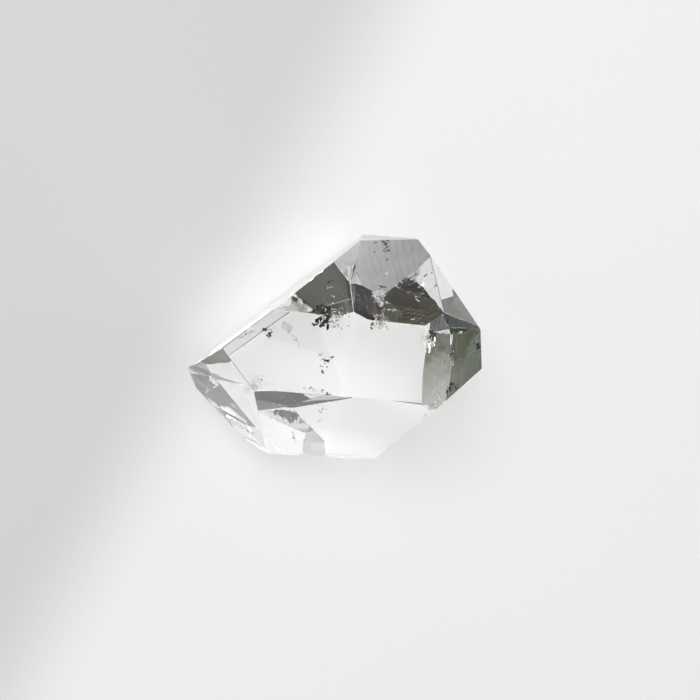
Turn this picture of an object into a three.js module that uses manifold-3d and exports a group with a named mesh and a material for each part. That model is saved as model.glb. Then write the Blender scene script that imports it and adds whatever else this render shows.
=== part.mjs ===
// Herkimer-type quartz crystal: one loose, doubly terminated, water-clear crystal.
//
// Millimetres, +Z up. The crystal lies on one of its prism faces, its long axis along X, and the
// origin is under its middle, on the surface that it lies on.
// It is one convex solid. Each flat face of the crystal is one half-space, given by the direction
// the face looks in and by how far it stands from the origin. The solid is what is left of a block
// when everything outside each half-space has been cut away.
import * as THREE from "three";
import { mergeVertices } from "three/addons/utils/BufferGeometryUtils.js";
import Module from "manifold-3d";

const wasm = await Module();
wasm.setup();

// Driving dimensions, in millimetres.
const CRYSTAL_SCALE = 1.0; // 1 = a crystal about 32 mm long
const BLOCK = 80; // edge of the block that the faces are cut from, larger than any crystal here
const SLAB = 120; // edge of each block that is cut away

// The crystal's faces. The prism faces stand round the long axis, parallel in pairs. The left and
// right faces close the two pointed ends, at the steep angle of quartz rhombohedra.
const FACES = [
  { name: "prism_top", looks: [-0.06524, 0.16918, 0.98342], stands: 28.2930 },
  { name: "prism_back", looks: [0.12544, 0.92025, 0.37068], stands: 19.1399 },
  { name: "prism_front", looks: [-0.18178, -0.75937, 0.62475], stands: 16.4152 },
  { name: "right_upper", looks: [0.58149, 0.09168, 0.80837], stands: 26.3807 },
  { name: "right_back", looks: [0.66079, 0.66769, 0.34285], stands: 20.5208 },
  { name: "left_upper", looks: [-0.82042, -0.46015, 0.33937], stands: 17.5477 },
  { name: "left_front", looks: [-0.73284, -0.59178, 0.33578], stands: 15.8406 },
  { name: "left_back", looks: [-0.52039, 0.77310, -0.36264], stands: 4.4992 },
  { name: "back_rim", looks: [0.06634, 0.96857, -0.23971], stands: 10.4596 },
  { name: "right_front", looks: [0.55058, -0.67787, 0.48719], stands: 17.6987 },
  { name: "right_end", looks: [0.97556, 0.05444, 0.21289], stands: 18.3111 },
  { name: "right_back_low", looks: [0.86109, 0.50843, 0.00518], stands: 14.7229 },
  { name: "left_low_front", looks: [-0.70474, -0.69572, -0.13895], stands: 13.7995 },
  { name: "left_end", looks: [-0.92275, 0.07408, -0.37823], stands: 10.8584 },
  { name: "left_back_low", looks: [-0.30741, 0.64611, -0.69860], stands: 3.2212 },
  { name: "right_low_back", looks: [0.70098, 0.58372, -0.40975], stands: 8.9463 },
  { name: "prism_under_front", looks: [-0.07490, -0.94825, -0.30856], stands: 10.0744 },
  { name: "prism_foot", looks: [-0.00000, 0.00000, -1.00000], stands: 0.0000 },
  { name: "right_under", looks: [0.63547, -0.15775, -0.75584], stands: 2.2985 },
  { name: "left_under", looks: [-0.37969, -0.13384, -0.91538], stands: 0.0303 },
];

// A closed three.js geometry as a manifold solid.
function solidOf(geometry) {
  const bare = geometry.clone();
  bare.deleteAttribute("normal");
  bare.deleteAttribute("uv");
  const merged = mergeVertices(bare, 1e-5);
  return new wasm.Manifold(
    new wasm.Mesh({
      numProp: 3,
      vertProperties: new Float32Array(merged.attributes.position.array),
      triVerts: new Uint32Array(merged.index.array),
    }),
  );
}

// Everything that lies outside one face: a large block whose underside is that face's plane.
function outside({ looks, stands }) {
  const normal = new THREE.Vector3(...looks).normalize();
  const slab = new THREE.BoxGeometry(SLAB, SLAB, SLAB);
  slab.translate(0, 0, SLAB / 2);
  slab.applyQuaternion(
    new THREE.Quaternion().setFromUnitVectors(
      new THREE.Vector3(0, 0, 1),
      normal,
    ),
  );
  slab.translate(
    ...normal.multiplyScalar(stands * CRYSTAL_SCALE).toArray(),
  );
  return solidOf(slab);
}

let crystal = solidOf(new THREE.BoxGeometry(BLOCK, BLOCK, BLOCK));
for (const face of FACES) crystal = crystal.subtract(outside(face));

// The solid back as a three.js geometry, with flat shaded faces.
function geometryOf(solid) {
  const { vertProperties, triVerts, numProp } = solid.getMesh();
  const indexed = new THREE.BufferGeometry();
  const xyz = new Float32Array((vertProperties.length / numProp) * 3);
  for (let i = 0, j = 0; i < vertProperties.length; i += numProp) {
    xyz[j++] = vertProperties[i];
    xyz[j++] = vertProperties[i + 1];
    xyz[j++] = vertProperties[i + 2];
  }
  indexed.setAttribute("position", new THREE.BufferAttribute(xyz, 3));
  indexed.setIndex(new THREE.BufferAttribute(new Uint32Array(triVerts), 1));
  const flat = indexed.toNonIndexed();
  flat.computeVertexNormals();
  return flat;
}

const quartz = new THREE.MeshStandardMaterial({
  color: 0xf4f6f5,
  roughness: 0.03,
  metalness: 0,
  transparent: true,
  opacity: 0.35,
});

const mesh = new THREE.Mesh(geometryOf(crystal), quartz);
mesh.name = "crystal";

const group = new THREE.Group();
group.add(mesh);

export default group;
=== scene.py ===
import math
import random

import bmesh
import bpy
import numpy as np
from mathutils import Matrix, Vector


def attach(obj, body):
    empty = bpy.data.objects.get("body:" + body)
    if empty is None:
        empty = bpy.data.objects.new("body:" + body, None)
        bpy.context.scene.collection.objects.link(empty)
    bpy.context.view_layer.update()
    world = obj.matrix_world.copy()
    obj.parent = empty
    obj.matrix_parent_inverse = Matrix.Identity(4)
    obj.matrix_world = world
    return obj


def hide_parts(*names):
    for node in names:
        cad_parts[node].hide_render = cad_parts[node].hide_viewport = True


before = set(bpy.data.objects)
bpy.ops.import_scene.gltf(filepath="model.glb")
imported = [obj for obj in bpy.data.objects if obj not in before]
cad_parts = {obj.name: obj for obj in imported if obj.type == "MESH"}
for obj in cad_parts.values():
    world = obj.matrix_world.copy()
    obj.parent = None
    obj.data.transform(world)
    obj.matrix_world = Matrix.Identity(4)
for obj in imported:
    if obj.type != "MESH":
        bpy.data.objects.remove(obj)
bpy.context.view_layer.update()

# ---------------------------------------------------------------- constants
MM = 0.001
IOR = 1.544
WEAR = (0.03, 0.07)    # width of a worn edge, from and to, in mm
SWELL = (330.0, 0.006)    # the faces' swell: scale, and height in mm
LINES = (420.0, 0.0006)   # growth lines, the same
ETCHED = [(474, 332, 0.7, 2.2), (475, 360, 0.7, 2.0), (463, 320, 0.3, 1.3)]    # pixel, radii in mm
WINDOW = 14.0
FLOOR_COLOUR = 0.45
# FLOOR_GLOW is painted light: the floor sheet's own glow, though it is no lamp.
FLOOR_GLOW = 0.70

# The camera. SIGHT's rows turn a direction given as (right, up, towards the camera) into the
# part's frame; OFFSET is the part's origin seen from the camera frame's origin, in mm.
# PIXEL_MM is the size of one pixel of the 700 pixel frame at the camera frame's origin.
# >>> geometry
SIGHT = ((0.966935, 0.095414, -0.236501), (0.000000, 0.927373, 0.374139), (0.255023, -0.361768, 0.896709))
OFFSET = (-0.34416, -2.98819, -17.81679)
# <<< geometry
PIXEL_MM = 0.108
CAMERA_PIXELS = 1461.0

SIGHT = Matrix(SIGHT)
OFFSET = Vector(OFFSET)


def seen(x, y, z):
    """A point given in the camera's frame, in pixels, as a point of the part's frame, in metres."""
    return (SIGHT @ Vector((x, y, z)) * PIXEL_MM - OFFSET) * MM


# ---------------------------------------------------------------- camera
cam_data = bpy.data.cameras.new("camera")
cam_data.sensor_width = 36.0
cam_data.lens = 36.0 * CAMERA_PIXELS / 700.0
cam_data.clip_start = 0.005
cam_data.clip_end = 10.0
camera = bpy.data.objects.new("camera", cam_data)
bpy.context.scene.collection.objects.link(camera)
camera.matrix_world = Matrix.Translation(seen(0, 0, CAMERA_PIXELS)) @ SIGHT.to_4x4()
bpy.context.scene.camera = camera

scene = bpy.context.scene
scene.view_settings.view_transform = "Standard"
scene.view_settings.look = "None"
scene.cycles.max_bounces = 24
scene.cycles.transmission_bounces = 24
scene.cycles.glossy_bounces = 16
scene.cycles.transparent_max_bounces = 32
scene.cycles.blur_glossy = 0.0
scene.cycles.sample_clamp_indirect = 0.0

# ---------------------------------------------------------------- light
# The room, as brightness by direction in the part's frame: a smooth base by height, then soft
# patches, such as a window, a white card or a dark corner. A patch is (azimuth, elevation,
# half-width, softness in degrees, flatness, colour); a negative colour darkens.
# The floor is a pale sheet: SHEET gives its sides (left, right, near, far) in mm, RIM its soft
# rim, SHEET_TONES its tone under the crystal, raised there as a painted pool of light, and further
# out, and FADE where its painted shade begins and ends to darken it to the left, and how far. Past it, out of the
# picture, the table is darker; RINGS gives the tone by distance from the crystal in mm, and SPOTS are
# things that lie there, as (azimuth, distance, half-width in mm, colour).
SHEET = (-44.0, 62.0, -69.0, 42.0)
RIM = 5.0
# The first of SHEET_TONES, under the crystal, is raised as a painted pool of light.
SHEET_TONES = ((0.95, 0.95, 0.95), (0.88, 0.88, 0.88))
# FADE darkens the sheet to the left as painted shade.
FADE = (2.0, 18.0, 0.75)
# >>> room
BASE = [(-1.000, (0.020, 0.020, 0.020)), (0.000, (0.020, 0.020, 0.020)), (0.208, (0.048, 0.058, 0.032)), (0.500, (0.116, 0.119, 0.108)), (0.819, (0.100, 0.094, 0.089)), (1.000, (0.668, 0.652, 0.658))]
PATCHES = [
    (210, 30, 9, 4.0, 1.0, (-0.315, -0.315, -0.314)),
    (150, 45, 9, 4.0, 2.2, (0.698, 0.707, 0.695)),
    (15, 45, 9, 4.0, 1.0, (0.941, 0.937, 0.936)),
    (195, 18, 9, 4.0, 1.0, (0.249, 0.245, 0.275)),
    (210, 30, 9, 4.0, 2.2, (-0.056, -0.058, -0.050)),
    (45, 30, 9, 4.0, 2.2, (0.915, 0.909, 0.918)),
    (180, 45, 9, 4.0, 2.2, (0.300, 0.305, 0.316)),
    (75, 62, 9, 4.0, 2.2, (0.768, 0.769, 0.793)),
    (210, 45, 16, 7.2, 1.0, (0.051, 0.042, 0.045)),
    (195, 45, 16, 7.2, 1.0, (0.297, 0.302, 0.289)),
    (345, 30, 9, 4.0, 1.0, (-0.298, -0.305, -0.259)),
    (195, 45, 9, 4.0, 2.2, (-0.129, -0.129, -0.119)),
    (225, 30, 16, 7.2, 2.2, (0.002, 0.008, 0.003)),
    (210, 45, 16, 7.2, 2.2, (-0.074, -0.071, -0.065)),
    (195, 45, 16, 7.2, 2.2, (-0.145, -0.140, -0.152)),
    (225, 45, 16, 7.2, 2.2, (0.217, 0.221, 0.225)),
    (210, 45, 9, 4.0, 2.2, (-0.006, -0.014, -0.012)),
    (225, 45, 26, 11.7, 1.0, (0.461, 0.463, 0.467)),
    (240, 30, 26, 11.7, 2.2, (-0.018, -0.019, -0.019)),
    (210, 30, 16, 7.2, 1.0, (-0.063, -0.074, -0.057)),
    (195, 30, 9, 4.0, 2.2, (-0.275, -0.274, -0.296)),
    (210, 62, 26, 11.7, 2.2, (0.020, 0.020, 0.004)),
    (180, 45, 16, 7.2, 2.2, (0.131, 0.135, 0.163)),
    (240, 45, 26, 11.7, 2.2, (-0.507, -0.504, -0.475)),
    (225, 30, 26, 11.7, 1.0, (-0.240, -0.247, -0.244)),
    (195, 62, 26, 11.7, 2.2, (0.057, 0.057, 0.040)),
    (210, 45, 26, 11.7, 1.0, (0.399, 0.402, 0.407)),
    (225, 45, 26, 11.7, 2.2, (0.151, 0.149, 0.151)),
    (225, 62, 26, 11.7, 2.2, (-0.238, -0.240, -0.241)),
    (210, 30, 16, 7.2, 2.2, (0.009, 0.009, 0.001)),
    (210, 18, 26, 11.7, 1.0, (-0.016, -0.014, -0.015)),
    (180, 62, 26, 11.7, 2.2, (-0.152, -0.154, -0.168)),
    (195, 30, 9, 4.0, 1.0, (0.029, 0.036, 0.025)),
    (210, 9, 16, 7.2, 2.2, (-0.293, -0.298, -0.295)),
    (210, 2, 16, 7.2, 1.0, (-0.234, -0.241, -0.240)),
    (210, 18, 9, 4.0, 1.0, (-0.168, -0.177, -0.179)),
]
RINGS = [(50, (0.308, 0.296, 0.266)), (90, (0.129, 0.131, 0.100)), (150, (0.138, 0.163, 0.134)), (300, (0.062, 0.050, 0.053))]
SPOTS = [
    (180, 110, 25, (-0.480, -0.498, -0.472)),
    (105, 210, 140, (-0.189, -0.188, -0.187)),
    (75, 85, 25, (-0.437, -0.440, -0.431)),
    (120, 150, 80, (-0.223, -0.222, -0.220)),
    (75, 110, 45, (-0.174, -0.178, -0.179)),
    (90, 210, 140, (-0.031, -0.034, -0.037)),
    (105, 85, 45, (-0.208, -0.209, -0.208)),
    (75, 150, 80, (-0.106, -0.110, -0.114)),
    (90, 150, 80, (-0.090, -0.090, -0.090)),
    (120, 85, 45, (-0.140, -0.140, -0.136)),
    (180, 150, 45, (-0.308, -0.316, -0.310)),
    (75, 210, 140, (0.032, 0.027, 0.020)),
    (90, 85, 45, (0.271, 0.264, 0.266)),
    (135, 110, 45, (-0.371, -0.372, -0.395)),
    (195, 110, 45, (0.095, 0.093, 0.104)),
    (105, 150, 80, (-0.019, -0.019, -0.019)),
    (105, 85, 25, (0.005, 0.005, 0.005)),
    (90, 110, 45, (-0.020, -0.020, -0.021)),
    (60, 110, 45, (0.061, 0.052, 0.034)),
    (105, 110, 45, (-0.005, -0.005, -0.005)),
    (60, 150, 80, (-0.030, -0.036, -0.046)),
    (195, 150, 80, (0.230, 0.225, 0.217)),
    (120, 110, 45, (-0.043, -0.043, -0.043)),
    (180, 210, 45, (-0.275, -0.289, -0.282)),
]
# <<< room

world = bpy.data.worlds.new("room")
scene.world = world
world.use_nodes = True
nt = world.node_tree
nt.nodes.clear()
world_out = nt.nodes.new("ShaderNodeOutputWorld")
background = nt.nodes.new("ShaderNodeBackground")
coords = nt.nodes.new("ShaderNodeTexCoord")
split = nt.nodes.new("ShaderNodeSeparateXYZ")
height = nt.nodes.new("ShaderNodeMapRange")
height.inputs["From Min"].default_value = -1.0
height.inputs["From Max"].default_value = 1.0
base = nt.nodes.new("ShaderNodeValToRGB")
nt.links.new(coords.outputs["Generated"], split.inputs[0])
nt.links.new(split.outputs["Z"], height.inputs["Value"])
nt.links.new(height.outputs[0], base.inputs[0])
nt.links.new(background.outputs[0], world_out.inputs[0])
stops = base.color_ramp.elements
for k, (z, c) in enumerate(BASE):
    stop = stops[k] if k < 2 else stops.new(0.5 + z / 2)
    stop.position = 0.5 + z / 2
for stop, (z, c) in zip(sorted(stops, key=lambda e: e.position), BASE):
    stop.color = (c[0], c[1], c[2], 1)


def vector_node(operation, *inputs):
    node = nt.nodes.new("ShaderNodeVectorMath")
    node.operation = operation
    for k, value in enumerate(inputs):
        if hasattr(value, "is_output"):
            nt.links.new(value, node.inputs[k])
        else:
            node.inputs[k].default_value = value
    return node


def direction(azimuth, elevation):
    a, e = math.radians(azimuth), math.radians(elevation)
    return Vector((math.cos(e) * math.cos(a), math.cos(e) * math.sin(a), math.sin(e)))


total = base.outputs["Color"]
for azimuth, elevation, width, soft, flat, colour in PATCHES:
    towards = direction(azimuth, elevation)
    towards.z *= flat
    towards.normalize()
    squashed = vector_node("MULTIPLY", coords.outputs["Generated"], (1.0, 1.0, flat))
    unit = vector_node("NORMALIZE", squashed.outputs[0])
    along = vector_node("DOT_PRODUCT", unit.outputs[0], tuple(towards))
    edge = nt.nodes.new("ShaderNodeMapRange")
    edge.interpolation_type = "SMOOTHSTEP"
    nt.links.new(along.outputs["Value"], edge.inputs["Value"])
    edge.inputs["From Min"].default_value = math.cos(math.radians(width + soft))
    edge.inputs["From Max"].default_value = math.cos(math.radians(max(width - soft, 0)))
    tinted = vector_node("SCALE", colour)
    nt.links.new(edge.outputs[0], tinted.inputs["Scale"])
    total = vector_node("ADD", total, tinted.outputs[0]).outputs[0]
total = vector_node("MAXIMUM", total, (0.0, 0.0, 0.0)).outputs[0]
nt.links.new(total, background.inputs["Color"])
background.inputs["Strength"].default_value = 1.0


def soft_box(name, at, aim, size, radiance, colour=(1, 1, 1)):
    """A flat rectangular light whose face has the given radiance."""
    data = bpy.data.lights.new(name, "AREA")
    data.shape = "RECTANGLE"
    data.size, data.size_y = size
    data.energy = radiance * math.pi * size[0] * size[1]
    data.color = colour
    o = bpy.data.objects.new(name, data)
    scene.collection.objects.link(o)
    o.location = at
    o.rotation_mode = "QUATERNION"
    o.rotation_quaternion = (Vector(aim) - Vector(at)).to_track_quat("-Z", "Y")
    return o


soft_box("window", tuple(0.62 * direction(116, 50)), (0, 0, 0), (0.22, 0.22), WINDOW)

# ---------------------------------------------------------------- floor
bpy.ops.mesh.primitive_plane_add(size=3.0, location=(0, 0, -0.00006))
floor = bpy.context.object
floor.name = "floor"
fm = bpy.data.materials.new("floor_pale")
fm.use_nodes = True
fb = fm.node_tree.nodes["Principled BSDF"]
fb.inputs["Roughness"].default_value = 0.6
ft = fm.node_tree


def floor_node(kind, operation=None, **sockets):
    node = ft.nodes.new(kind)
    if operation:
        node.operation = operation
    for key, value in sockets.items():
        socket = node.inputs[int(key[1:])] if key[1:].isdigit() else node.inputs[key.replace("_", " ")]
        if hasattr(value, "is_output"):
            ft.links.new(value, socket)
        else:
            socket.default_value = value
    return node


place = floor_node("ShaderNodeNewGeometry").outputs["Position"]
reach = floor_node("ShaderNodeVectorMath", "LENGTH", _0=place).outputs["Value"]
reach = floor_node("ShaderNodeMath", "MULTIPLY", _0=reach, _1=1000.0).outputs[0]
# The painted pool of light under the crystal fades out between 7 and 16 mm from it.
away = floor_node("ShaderNodeMapRange", Value=reach, From_Min=7.0, From_Max=16.0)
away.interpolation_type = "SMOOTHSTEP"
reach = floor_node("ShaderNodeMath", "LOGARITHM", _0=reach, _1=10.0).outputs[0]
reach = floor_node("ShaderNodeMath", "DIVIDE", _0=reach, _1=3.2).outputs[0]
ramp = floor_node("ShaderNodeValToRGB")
ft.links.new(reach, ramp.inputs[0])
stops = ramp.color_ramp.elements
for k, (r, c) in enumerate(RINGS):
    stop = stops[k] if k < 2 else stops.new(math.log10(r) / 3.2)
    stop.position = math.log10(r) / 3.2
for stop, (r, c) in zip(sorted(stops, key=lambda e: e.position), RINGS):
    stop.color = (c[0], c[1], c[2], 1)
tone = ramp.outputs["Color"]
for azimuth, r, wide, colour in SPOTS:
    centre = tuple(0.001 * r * direction(azimuth, 0))
    gap = floor_node("ShaderNodeVectorMath", "SUBTRACT", _0=place, _1=centre)
    gap = floor_node("ShaderNodeVectorMath", "LENGTH", _0=gap.outputs[0])
    edge = floor_node("ShaderNodeMapRange", Value=gap.outputs["Value"], From_Min=0.0013 * wide,
                      From_Max=0.0007 * wide)
    edge.interpolation_type = "SMOOTHSTEP"
    spot = floor_node("ShaderNodeVectorMath", "SCALE", _0=colour)
    ft.links.new(edge.outputs[0], spot.inputs["Scale"])
    tone = floor_node("ShaderNodeVectorMath", "ADD", _0=tone, _1=spot.outputs[0]).outputs[0]
tone = floor_node("ShaderNodeVectorMath", "MAXIMUM", _0=tone, _1=(0.01, 0.01, 0.01)).outputs[0]
# The sheet lies over that, slightly lighter right under the crystal: a painted pool of light, so that the crystal's
# own shade on it hardly shows.
spread_out = floor_node("ShaderNodeVectorMath", "SCALE", _0=place)
spread_out.inputs["Scale"].default_value = 1000.0
axes = ft.nodes.new("ShaderNodeSeparateXYZ")
ft.links.new(spread_out.outputs[0], axes.inputs[0])
past = None
for axis, low, high in (("X", SHEET[0], SHEET[1]), ("Y", SHEET[2], SHEET[3])):
    for sign, limit in ((-1.0, low), (1.0, high)):
        gap = floor_node("ShaderNodeMath", "MULTIPLY_ADD", _0=axes.outputs[axis], _1=sign, _2=-sign * limit).outputs[0]
        past = gap if past is None else floor_node("ShaderNodeMath", "MAXIMUM", _0=past, _1=gap).outputs[0]
cover = floor_node("ShaderNodeMapRange", Value=past, From_Min=RIM, From_Max=0.0)
cover.interpolation_type = "SMOOTHSTEP"
paper = floor_node("ShaderNodeVectorMath", "SCALE", _0=tuple(b - a for a, b in zip(SHEET_TONES[0], SHEET_TONES[1])))
ft.links.new(away.outputs[0], paper.inputs["Scale"])
paper = floor_node("ShaderNodeVectorMath", "ADD", _0=paper.outputs[0], _1=SHEET_TONES[0]).outputs[0]
# Painted shade: it gets a little darker towards the far left corner, away from the light.
left = floor_node("ShaderNodeVectorMath", "DOT_PRODUCT", _0=place, _1=tuple(1000.0 * direction(150, 0)))
left = floor_node("ShaderNodeMapRange", Value=left.outputs["Value"], From_Min=FADE[0], From_Max=FADE[1],
                  To_Min=1.0, To_Max=FADE[2])
left.interpolation_type = "SMOOTHSTEP"
paper = floor_node("ShaderNodeVectorMath", "SCALE", _0=paper)
ft.links.new(left.outputs[0], paper.inputs["Scale"])
paper = paper.outputs[0]
change = floor_node("ShaderNodeVectorMath", "SUBTRACT", _0=paper, _1=tone)
change = floor_node("ShaderNodeVectorMath", "SCALE", _0=change.outputs[0])
ft.links.new(cover.outputs[0], change.inputs["Scale"])
tone = floor_node("ShaderNodeVectorMath", "ADD", _0=tone, _1=change.outputs[0]).outputs[0]
# Painted light: the sheet also glows with its own tone, evenly, so that the crystal hardly shades it.
dim = floor_node("ShaderNodeVectorMath", "SCALE", _0=tone)
dim.inputs["Scale"].default_value = FLOOR_COLOUR
ft.links.new(dim.outputs[0], fb.inputs["Base Color"])
ft.links.new(tone, fb.inputs["Emission Color"])
fb.inputs["Emission Strength"].default_value = FLOOR_GLOW
floor.data.materials.append(fm)

# ---------------------------------------------------------------- crystal
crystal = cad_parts["crystal"]


def plain(name, colour, roughness, **sockets):
    m = bpy.data.materials.new(name)
    m.use_nodes = True
    shader = m.node_tree.nodes["Principled BSDF"]
    shader.inputs["Base Color"].default_value = (*colour, 1)
    shader.inputs["Roughness"].default_value = roughness
    for key, value in sockets.items():
        shader.inputs[key.replace("_", " ")].default_value = value
    return m


quartz = plain("quartz", (1, 1, 1), 0.0, IOR=IOR, Transmission_Weight=1.0)
carbon = plain("carbon", (0.012, 0.011, 0.010), 0.42)
flake = plain("flake", (0.93, 0.93, 0.92), 0.35)
rust = plain("rust", (0.46, 0.38, 0.30), 0.6)

# The crystal's flat faces, as (outward normal, distance from the origin).
FACES = []
for p in crystal.data.polygons:
    n, d = p.normal.copy(), p.normal.dot(p.center)
    if not any(n.dot(m) > 0.99999 and abs(d - e) < 2e-6 for m, e in FACES):
        FACES.append((n, d))


def entry(px, py):
    """Where the line of sight through a pixel enters the crystal, and how it goes on inside."""
    eye = seen(0, 0, CAMERA_PIXELS)
    along = (SIGHT @ Vector((px - 350, 350 - py, -CAMERA_PIXELS))).normalized()
    best, normal = -1e9, None
    for n, d in FACES:
        slope = along.dot(n)
        if slope < 0 and (d - eye.dot(n)) / slope > best:
            best, normal = (d - eye.dot(n)) / slope, n
    eta, c = 1 / IOR, -along.dot(normal)
    inner = eta * along + (eta * c - math.sqrt(1 - eta * eta * (1 - c * c))) * normal
    return eye + best * along, inner.normalized(), normal


def within(point):
    return min(d - point.dot(n) for n, d in FACES)


def sealed(px, py, depth, room=0.00005):
    """A point inside the crystal that shows at a pixel, depth mm behind the face in front of it."""
    at, inner, normal = entry(px, py)
    reach = depth * MM
    while within(at + reach * inner) < room and reach > 1e-5:
        reach *= 0.9
    return at + reach * inner, inner, normal


def sunk(point, skin=0.00004):
    """The point, moved inwards until it is at least skin inside every face."""
    for _ in range(4):
        for n, d in FACES:
            past = point.dot(n) - d + skin
            if past > 0:
                point = point - past * n
    return point


# ---------------------------------------------------------------- surface
# The faces are bright, with the faint swell and fine lines that growth leaves, and an etched,
# frosted zone at the rim of the blunt end.
qt = quartz.node_tree
skin = qt.nodes["Principled BSDF"]
spot = qt.nodes.new("ShaderNodeTexCoord").outputs["Object"]


def quartz_node(kind, operation=None, **sockets):
    node = qt.nodes.new(kind)
    if operation:
        node.operation = operation
    for key, value in sockets.items():
        socket = node.inputs[int(key[1:])] if key[1:].isdigit() else node.inputs[key.replace("_", " ")]
        if hasattr(value, "is_output"):
            qt.links.new(value, socket)
        else:
            socket.default_value = value
    return node


swell = quartz_node("ShaderNodeTexNoise", Vector=spot, Scale=SWELL[0], Detail=1.0)
lines = quartz_node("ShaderNodeTexWave", Vector=spot, Scale=LINES[0], Distortion=6.0, Detail=2.0)
lines.bands_direction = "X"
relief = quartz_node("ShaderNodeBump", Strength=1.0, Distance=SWELL[1] * MM, Height=swell.outputs[0])
relief = quartz_node("ShaderNodeBump", Strength=1.0, Distance=LINES[1] * MM, Height=lines.outputs["Fac"],
                     Normal=relief.outputs[0])
qt.links.new(relief.outputs[0], skin.inputs["Normal"])

etched = None
for px, py, inner_mm, outer_mm in ETCHED:
    gap = quartz_node("ShaderNodeVectorMath", "DISTANCE", _0=spot, _1=tuple(entry(px, py)[0])).outputs["Value"]
    fade = quartz_node("ShaderNodeMapRange", Value=gap, From_Min=outer_mm * MM, From_Max=inner_mm * MM).outputs[0]
    etched = fade if etched is None else quartz_node("ShaderNodeMath", "MAXIMUM", _0=etched, _1=fade).outputs[0]
pits = quartz_node("ShaderNodeTexNoise", Vector=spot, Scale=1500.0, Detail=4.0)
pits = quartz_node("ShaderNodeMapRange", Value=pits.outputs[0], From_Min=0.44, From_Max=0.60, To_Max=0.22)
etched = quartz_node("ShaderNodeMath", "MULTIPLY", _0=etched, _1=pits.outputs[0])
qt.links.new(etched.outputs[0], skin.inputs["Roughness"])

rng = random.Random(20)
PIX = PIXEL_MM * MM


def basis(inner, angle):
    """Right and up as the camera sees them, turned by angle, and the way inwards."""
    right, up = SIGHT @ Vector((1, 0, 0)), SIGHT @ Vector((0, 1, 0))
    a = math.radians(angle)
    u = math.cos(a) * right + math.sin(a) * up
    u = (u - u.dot(inner) * inner).normalized()
    return u, inner.cross(u).normalized(), inner


class Cluster:
    """Many small closed lumps and flakes of one material, in one mesh."""

    def __init__(self, name, material):
        self.name, self.material, self.bm = name, material, bmesh.new()

    def lump(self, px, py, size, depth, long=1.0, angle=0.0, thick=0.5, rough=0.42, tilt=0.5):
        """One ragged, angular grain: a low ball with each corner pushed in or out by its own amount."""
        at, inner, normal = sealed(px, py, depth, size * PIX * 0.4)
        u, v, w = basis(inner, angle)
        w = (w + rng.uniform(-tilt, tilt) * u + rng.uniform(-tilt, tilt) * v).normalized()
        made = bmesh.ops.create_icosphere(self.bm, subdivisions=1, radius=1.0)["verts"]
        r = size * PIX
        for vert in made:
            c = vert.co.copy()
            f = math.exp(rng.gauss(-0.12, rough))
            vert.co = sunk(at + f * r * (c.x * long * u + c.y * v + c.z * thick * w))

    def knot(self, px, py, size, depth, long=1.0, angle=0.0, thick=0.45, grains=4):
        """A ragged speck: several grains that run into each other, with splinters around them."""
        a = math.radians(angle)
        for k in range(grains):
            s = 0.62 if k == 0 else rng.uniform(0.3, 0.55)
            x, y = (0, 0) if k == 0 else (rng.gauss(0, 0.75) * size * long, rng.gauss(0, 0.6) * size)
            self.lump(px + x * math.cos(a) + y * math.sin(a), py - x * math.sin(a) + y * math.cos(a),
                      size * s, depth + rng.uniform(-0.06, 0.06), rng.uniform(1, 1 + 0.8 * long),
                      angle + rng.uniform(-40, 40), thick)

    def spray(self, px, py, wide, high, count, size, depth, angle=0.0, spread=1.0, thick=0.35, long=1.4):
        a = math.radians(angle)
        for _ in range(count):
            x, y = rng.gauss(0, 0.5) * wide, rng.gauss(0, 0.5) * high
            self.lump(px + x * math.cos(a) + y * math.sin(a), py - x * math.sin(a) + y * math.cos(a),
                      size * rng.uniform(0.45, 1.3), depth + rng.uniform(-0.5, 0.5) * spread,
                      rng.uniform(1, long), rng.uniform(0, 180), thick, 0.45, 1.0)

    def done(self):
        mesh = bpy.data.meshes.new(self.name)
        self.bm.normal_update()
        self.bm.to_mesh(mesh)
        self.bm.free()
        o = bpy.data.objects.new(self.name, mesh)
        scene.collection.objects.link(o)
        mesh.materials.append(self.material)
        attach(o, "root")
        return o


# >>> inclusions
black = Cluster("black_specks", carbon)
white = Cluster("white_flakes", flake)
brown = Cluster("brown_veils", rust)

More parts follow.
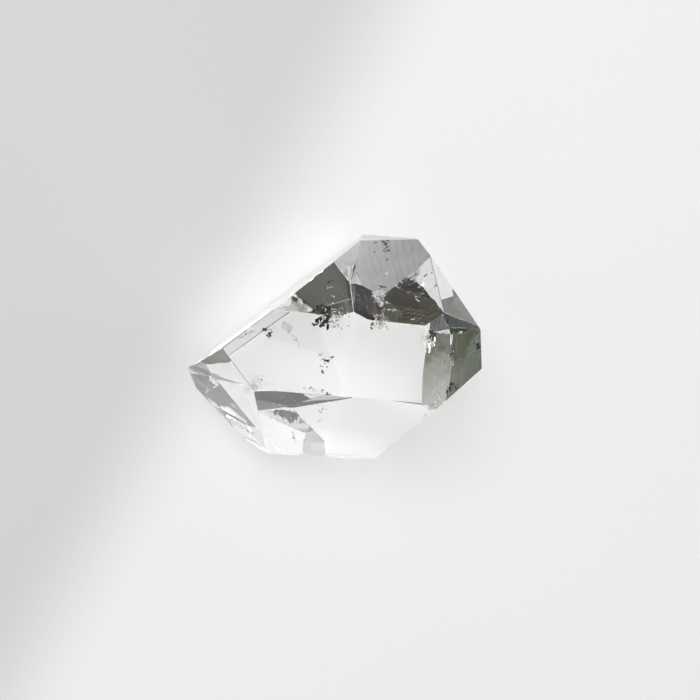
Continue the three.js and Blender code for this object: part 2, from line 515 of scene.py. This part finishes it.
# (pixel x, pixel y, half-size in pixels, depth in mm, length over width, turned by)
SPECKS = [
    (328.5, 282.5, 1.5, 3.0, 2.4, 32), (318, 307, 2.2, 3.2, 1.2, 60), (316, 311, 1.5, 3.4, 1.2, 0),
    (327, 309, 1.2, 2.6, 1.4, 20), (328, 312.5, 1.6, 2.8, 1.2, 100), (331.5, 310, 1.1, 2.7, 1.5, 0),
    (327, 318, 2.7, 3.0, 1.2, 70), (325, 322, 1.8, 3.0, 1.3, 60), (320, 325.5, 1.2, 3.1, 1.6, 10),
    (330, 316, 1.5, 2.8, 1.2, 0), (323.5, 325.5, 1.0, 3.0, 1.2, 0), (322, 314, 1.0, 3.3, 1.3, 30),
    (376, 242.3, 0.9, 1.4, 2.8, 4), (385, 243, 1.9, 1.5, 1.2, 0), (387, 247.5, 1.5, 1.7, 1.7, 20),
    (388.5, 251, 1.0, 1.8, 1.2, 0), (374.5, 251.5, 0.7, 1.6, 1.0, 0), (387, 260, 0.7, 2.0, 1.0, 0),
    (384, 287, 1.5, 2.6, 1.8, 5), (372.2, 319, 1.1, 2.2, 2.6, 92), (371.5, 324, 0.7, 2.2, 1.8, 90),
    (326.8, 361, 1.2, 2.4, 1.9, -20), (323.5, 359.5, 0.9, 2.4, 1.5, -30), (332, 358, 1.0, 2.6, 1.6, 25),
    (321, 355, 0.8, 2.5, 1.3, 0), (323, 373, 1.2, 2.2, 1.4, -60), (327, 367, 0.6, 2.4, 1.0, 0),
    (320.5, 366, 0.5, 2.4, 1.0, 0), (321, 397, 1.0, 1.6, 1.3, 0), (325, 401.5, 1.3, 1.8, 1.5, -20),
    (327, 405, 0.6, 1.8, 1.0, 0), (318, 405, 0.6, 1.8, 1.0, 0), (326, 409.5, 0.8, 2.0, 1.3, 0),
    (321.5, 412.5, 1.4, 2.0, 1.5, -60), (319.5, 420, 1.2, 2.0, 1.3, 70), (321, 427, 0.9, 2.0, 1.8, -15),
    (264.5, 329, 1.7, 1.6, 1.4, 10), (270, 334.5, 1.7, 1.7, 1.2, 50), (246, 334, 0.8, 1.4, 1.0, 0),
    (440, 266, 1.4, 0.8, 1.2, 50), (478, 346, 1.8, 0.8, 1.6, 70), (425, 416, 1.2, 0.6, 1.9, 55),
    (452, 384, 1.5, 1.6, 1.6, 30), (449.5, 388, 1.6, 1.8, 1.5, 60), (455.5, 387, 1.0, 1.5, 1.6, -30),
    (447, 392, 1.2, 1.6, 1.5, 60), (310.5, 388, 0.7, 1.5, 1.3, 0), (304, 388, 0.6, 1.5, 1.2, 0),
]
for px, py, size, depth, long, angle in SPECKS:
    big = size > 1.4
    black.knot(px, py, (1.05 if big else 1.25) * size, depth, long, angle, grains=9 if big else 5)
black.spray(324, 314, 7, 8, 46, 0.6, 3.0, spread=1.0)
black.spray(336, 314, 10, 4, 22, 0.35, 2.8, spread=0.8)
black.spray(324, 362, 5, 9, 9, 0.45, 2.4)
black.spray(322, 408, 4, 16, 12, 0.5, 1.9)
black.spray(452, 386, 5, 5, 16, 0.55, 1.6)
black.spray(386, 250, 5, 8, 8, 0.4, 1.7)
black.spray(268, 332, 5, 4, 7, 0.45, 1.7)

FLAKES = [
    (328, 287.3, 1.1, 2.6, 3.0, 8), (333, 296.5, 1.1, 2.4, 1.3, 0), (333, 303, 0.9, 2.4, 1.5, 0),
    (325.5, 308.5, 0.8, 2.3, 1.2, 0), (387, 303, 1.1, 2.4, 1.2, 0), (388, 309.5, 1.3, 2.4, 1.1, 0),
    (394, 309.5, 1.2, 2.4, 1.1, 0), (417, 299.8, 1.2, 1.8, 2.0, -60), (413.5, 319, 0.9, 1.6, 1.1, 0),
    (252, 332, 1.6, 1.2, 1.5, 20), (242, 336, 1.0, 1.2, 1.2, 0), (275, 328.5, 0.9, 1.5, 6.0, -38),
    (441, 404.5, 2.0, 0.5, 2.0, 40), (437, 393, 1.8, 0.7, 1.3, 0), (438, 399, 1.4, 0.7, 2.2, 85),
    (252, 436.5, 1.0, 0.9, 1.2, 0),
]
for px, py, size, depth, long, angle in FLAKES:
    white.knot(px, py, size, depth, long, angle, 0.25, 5)
white.spray(379, 294, 7, 5, 90, 0.8, 2.4, angle=10, thick=0.15)
white.spray(287, 327, 6, 4.5, 80, 0.9, 1.6, angle=-30, thick=0.15)
white.spray(428, 342, 4.5, 8, 120, 0.8, 0.9, thick=0.2)
white.spray(432, 407, 5, 4, 70, 0.75, 0.5, angle=40, thick=0.2)
white.spray(438, 398, 3, 7, 50, 0.7, 0.6, thick=0.2)
white.spray(247, 390, 4, 5, 26, 1.0, 0.6)
white.spray(231, 384, 2.5, 3, 16, 0.9, 0.6)
white.spray(254, 387, 4, 2, 18, 1.0, 0.5)
white.spray(338, 316, 12, 4, 34, 0.7, 2.6)
white.spray(380, 320, 8, 6, 30, 0.7, 2.2)
white.spray(240, 337, 6, 2, 12, 0.7, 1.2)
white.spray(286, 405, 18, 9, 120, 0.28, 0.9, spread=0.8)
white.spray(347, 300, 22, 12, 60, 0.25, 1.5)

brown.spray(258, 380, 10, 5, 60, 0.32, 1.0, angle=-30)
brown.spray(297, 341, 8, 2, 44, 0.3, 1.5, angle=-48)
brown.spray(294, 437, 1.6, 5, 22, 0.8, 1.6)
brown.spray(191, 369, 4, 4, 60, 0.5, 0.4)
brown.spray(381, 322, 8, 7, 40, 0.6, 2.2)
brown.spray(318, 396, 14, 1.2, 24, 0.4, 0.8, angle=-8)
brown.spray(337, 318, 10, 5, 26, 0.6, 2.7)
brown.spray(270, 336, 4, 3, 12, 0.5, 1.7)
black.done()
white.done()
brown.done()
# <<< inclusions

# The visible crystal has the solid's own faces, with its edges worn to narrow flats and its
# corners slightly blunted: the solid's planes, and one more plane for each edge and corner.
plain_bm = bmesh.new()
plain_bm.from_mesh(crystal.data)
bmesh.ops.remove_doubles(plain_bm, verts=plain_bm.verts[:], dist=1e-7)
bmesh.ops.dissolve_limit(plain_bm, angle_limit=0.002, verts=plain_bm.verts[:], edges=plain_bm.edges[:])
wear = random.Random(5)


def row(v):
    return np.array([v.x, v.y, v.z], float)


PLANES = [(row(f.normal), float(row(f.normal) @ row(f.calc_center_median())) / MM) for f in plain_bm.faces]
for e in plain_bm.edges:
    length = e.calc_length() / MM
    if len(e.link_faces) == 2 and length > 0.05:
        a, b = (row(f.normal) for f in e.link_faces)
        turn = math.acos(max(-1.0, min(1.0, float(a @ b))))
        if turn > 0.03:
            p, q = (row(v.co) / MM for v in e.verts)
            depth = wear.uniform(*WEAR) / 2 * math.tan(turn / 2)
            n = (a + b) / np.linalg.norm(a + b) + wear.uniform(-0.9, 0.9) * depth / length * (q - p) / length
            n /= np.linalg.norm(n)
            PLANES.append((n, float(n @ (p + q) / 2) - depth))
for v in plain_bm.verts:
    n = sum(row(f.normal) for f in v.link_faces)
    n /= np.linalg.norm(n)
    slope = min(math.acos(min(1.0, float(n @ row(f.normal)))) for f in v.link_faces)
    PLANES.append((n, float(n @ row(v.co)) / MM - min(0.05, wear.uniform(0.03, 0.07) * math.tan(slope))))
plain_bm.free()


def cell(planes):
    """The faces of the convex body that all the planes leave, as lists of points in mm."""
    faces = []
    for i, (n, d) in enumerate(planes):
        u = np.cross(n, (1, 0, 0) if abs(n[0]) < 0.8 else (0, 1, 0))
        u /= np.linalg.norm(u)
        w = np.cross(n, u)
        ring = [d * n + 80 * (a * u + b * w) for a, b in ((-1, -1), (1, -1), (1, 1), (-1, 1))]
        for j, (m, e) in enumerate(planes):
            if j == i or not ring:
                continue
            over = [float(m @ p) - e for p in ring]
            kept = []
            for k, p in enumerate(ring):
                q, h, g = ring[(k + 1) % len(ring)], over[k], over[(k + 1) % len(ring)]
                if h <= 0:
                    kept.append(p)
                if (h < 0 < g) or (g < 0 < h):
                    kept.append(p + (q - p) * h / (h - g))
            ring = kept
        if len(ring) > 2:
            faces.append(ring)
    return faces


fine = bmesh.new()
points = []
for ring in cell(PLANES):
    for p in ring:
        if not points or np.linalg.norm(np.array(points) - p, axis=1).min() > 2e-4:
            points.append(p)
for p in points:
    fine.verts.new(Vector(p) * MM)
hull = bmesh.ops.convex_hull(fine, input=fine.verts[:], use_existing_faces=False)
spare = [v for v in fine.verts if not v.link_faces]
bmesh.ops.delete(fine, geom=spare, context="VERTS")
bmesh.ops.recalc_face_normals(fine, faces=fine.faces[:])
bmesh.ops.triangulate(fine, faces=fine.faces[:])
mesh = bpy.data.meshes.new("crystal_fine")
fine.to_mesh(mesh)
print("crystal_fine", len(mesh.polygons), "open edges", sum(1 for e in fine.edges if len(e.link_faces) != 2),
      "volume", fine.calc_volume() * 1e9)
fine.free()
skin = bpy.data.objects.new("crystal_fine", mesh)
scene.collection.objects.link(skin)
mesh.materials.append(quartz)
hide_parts("crystal")
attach(skin, "root")
crystal.data.materials.clear()
crystal.data.materials.append(quartz)
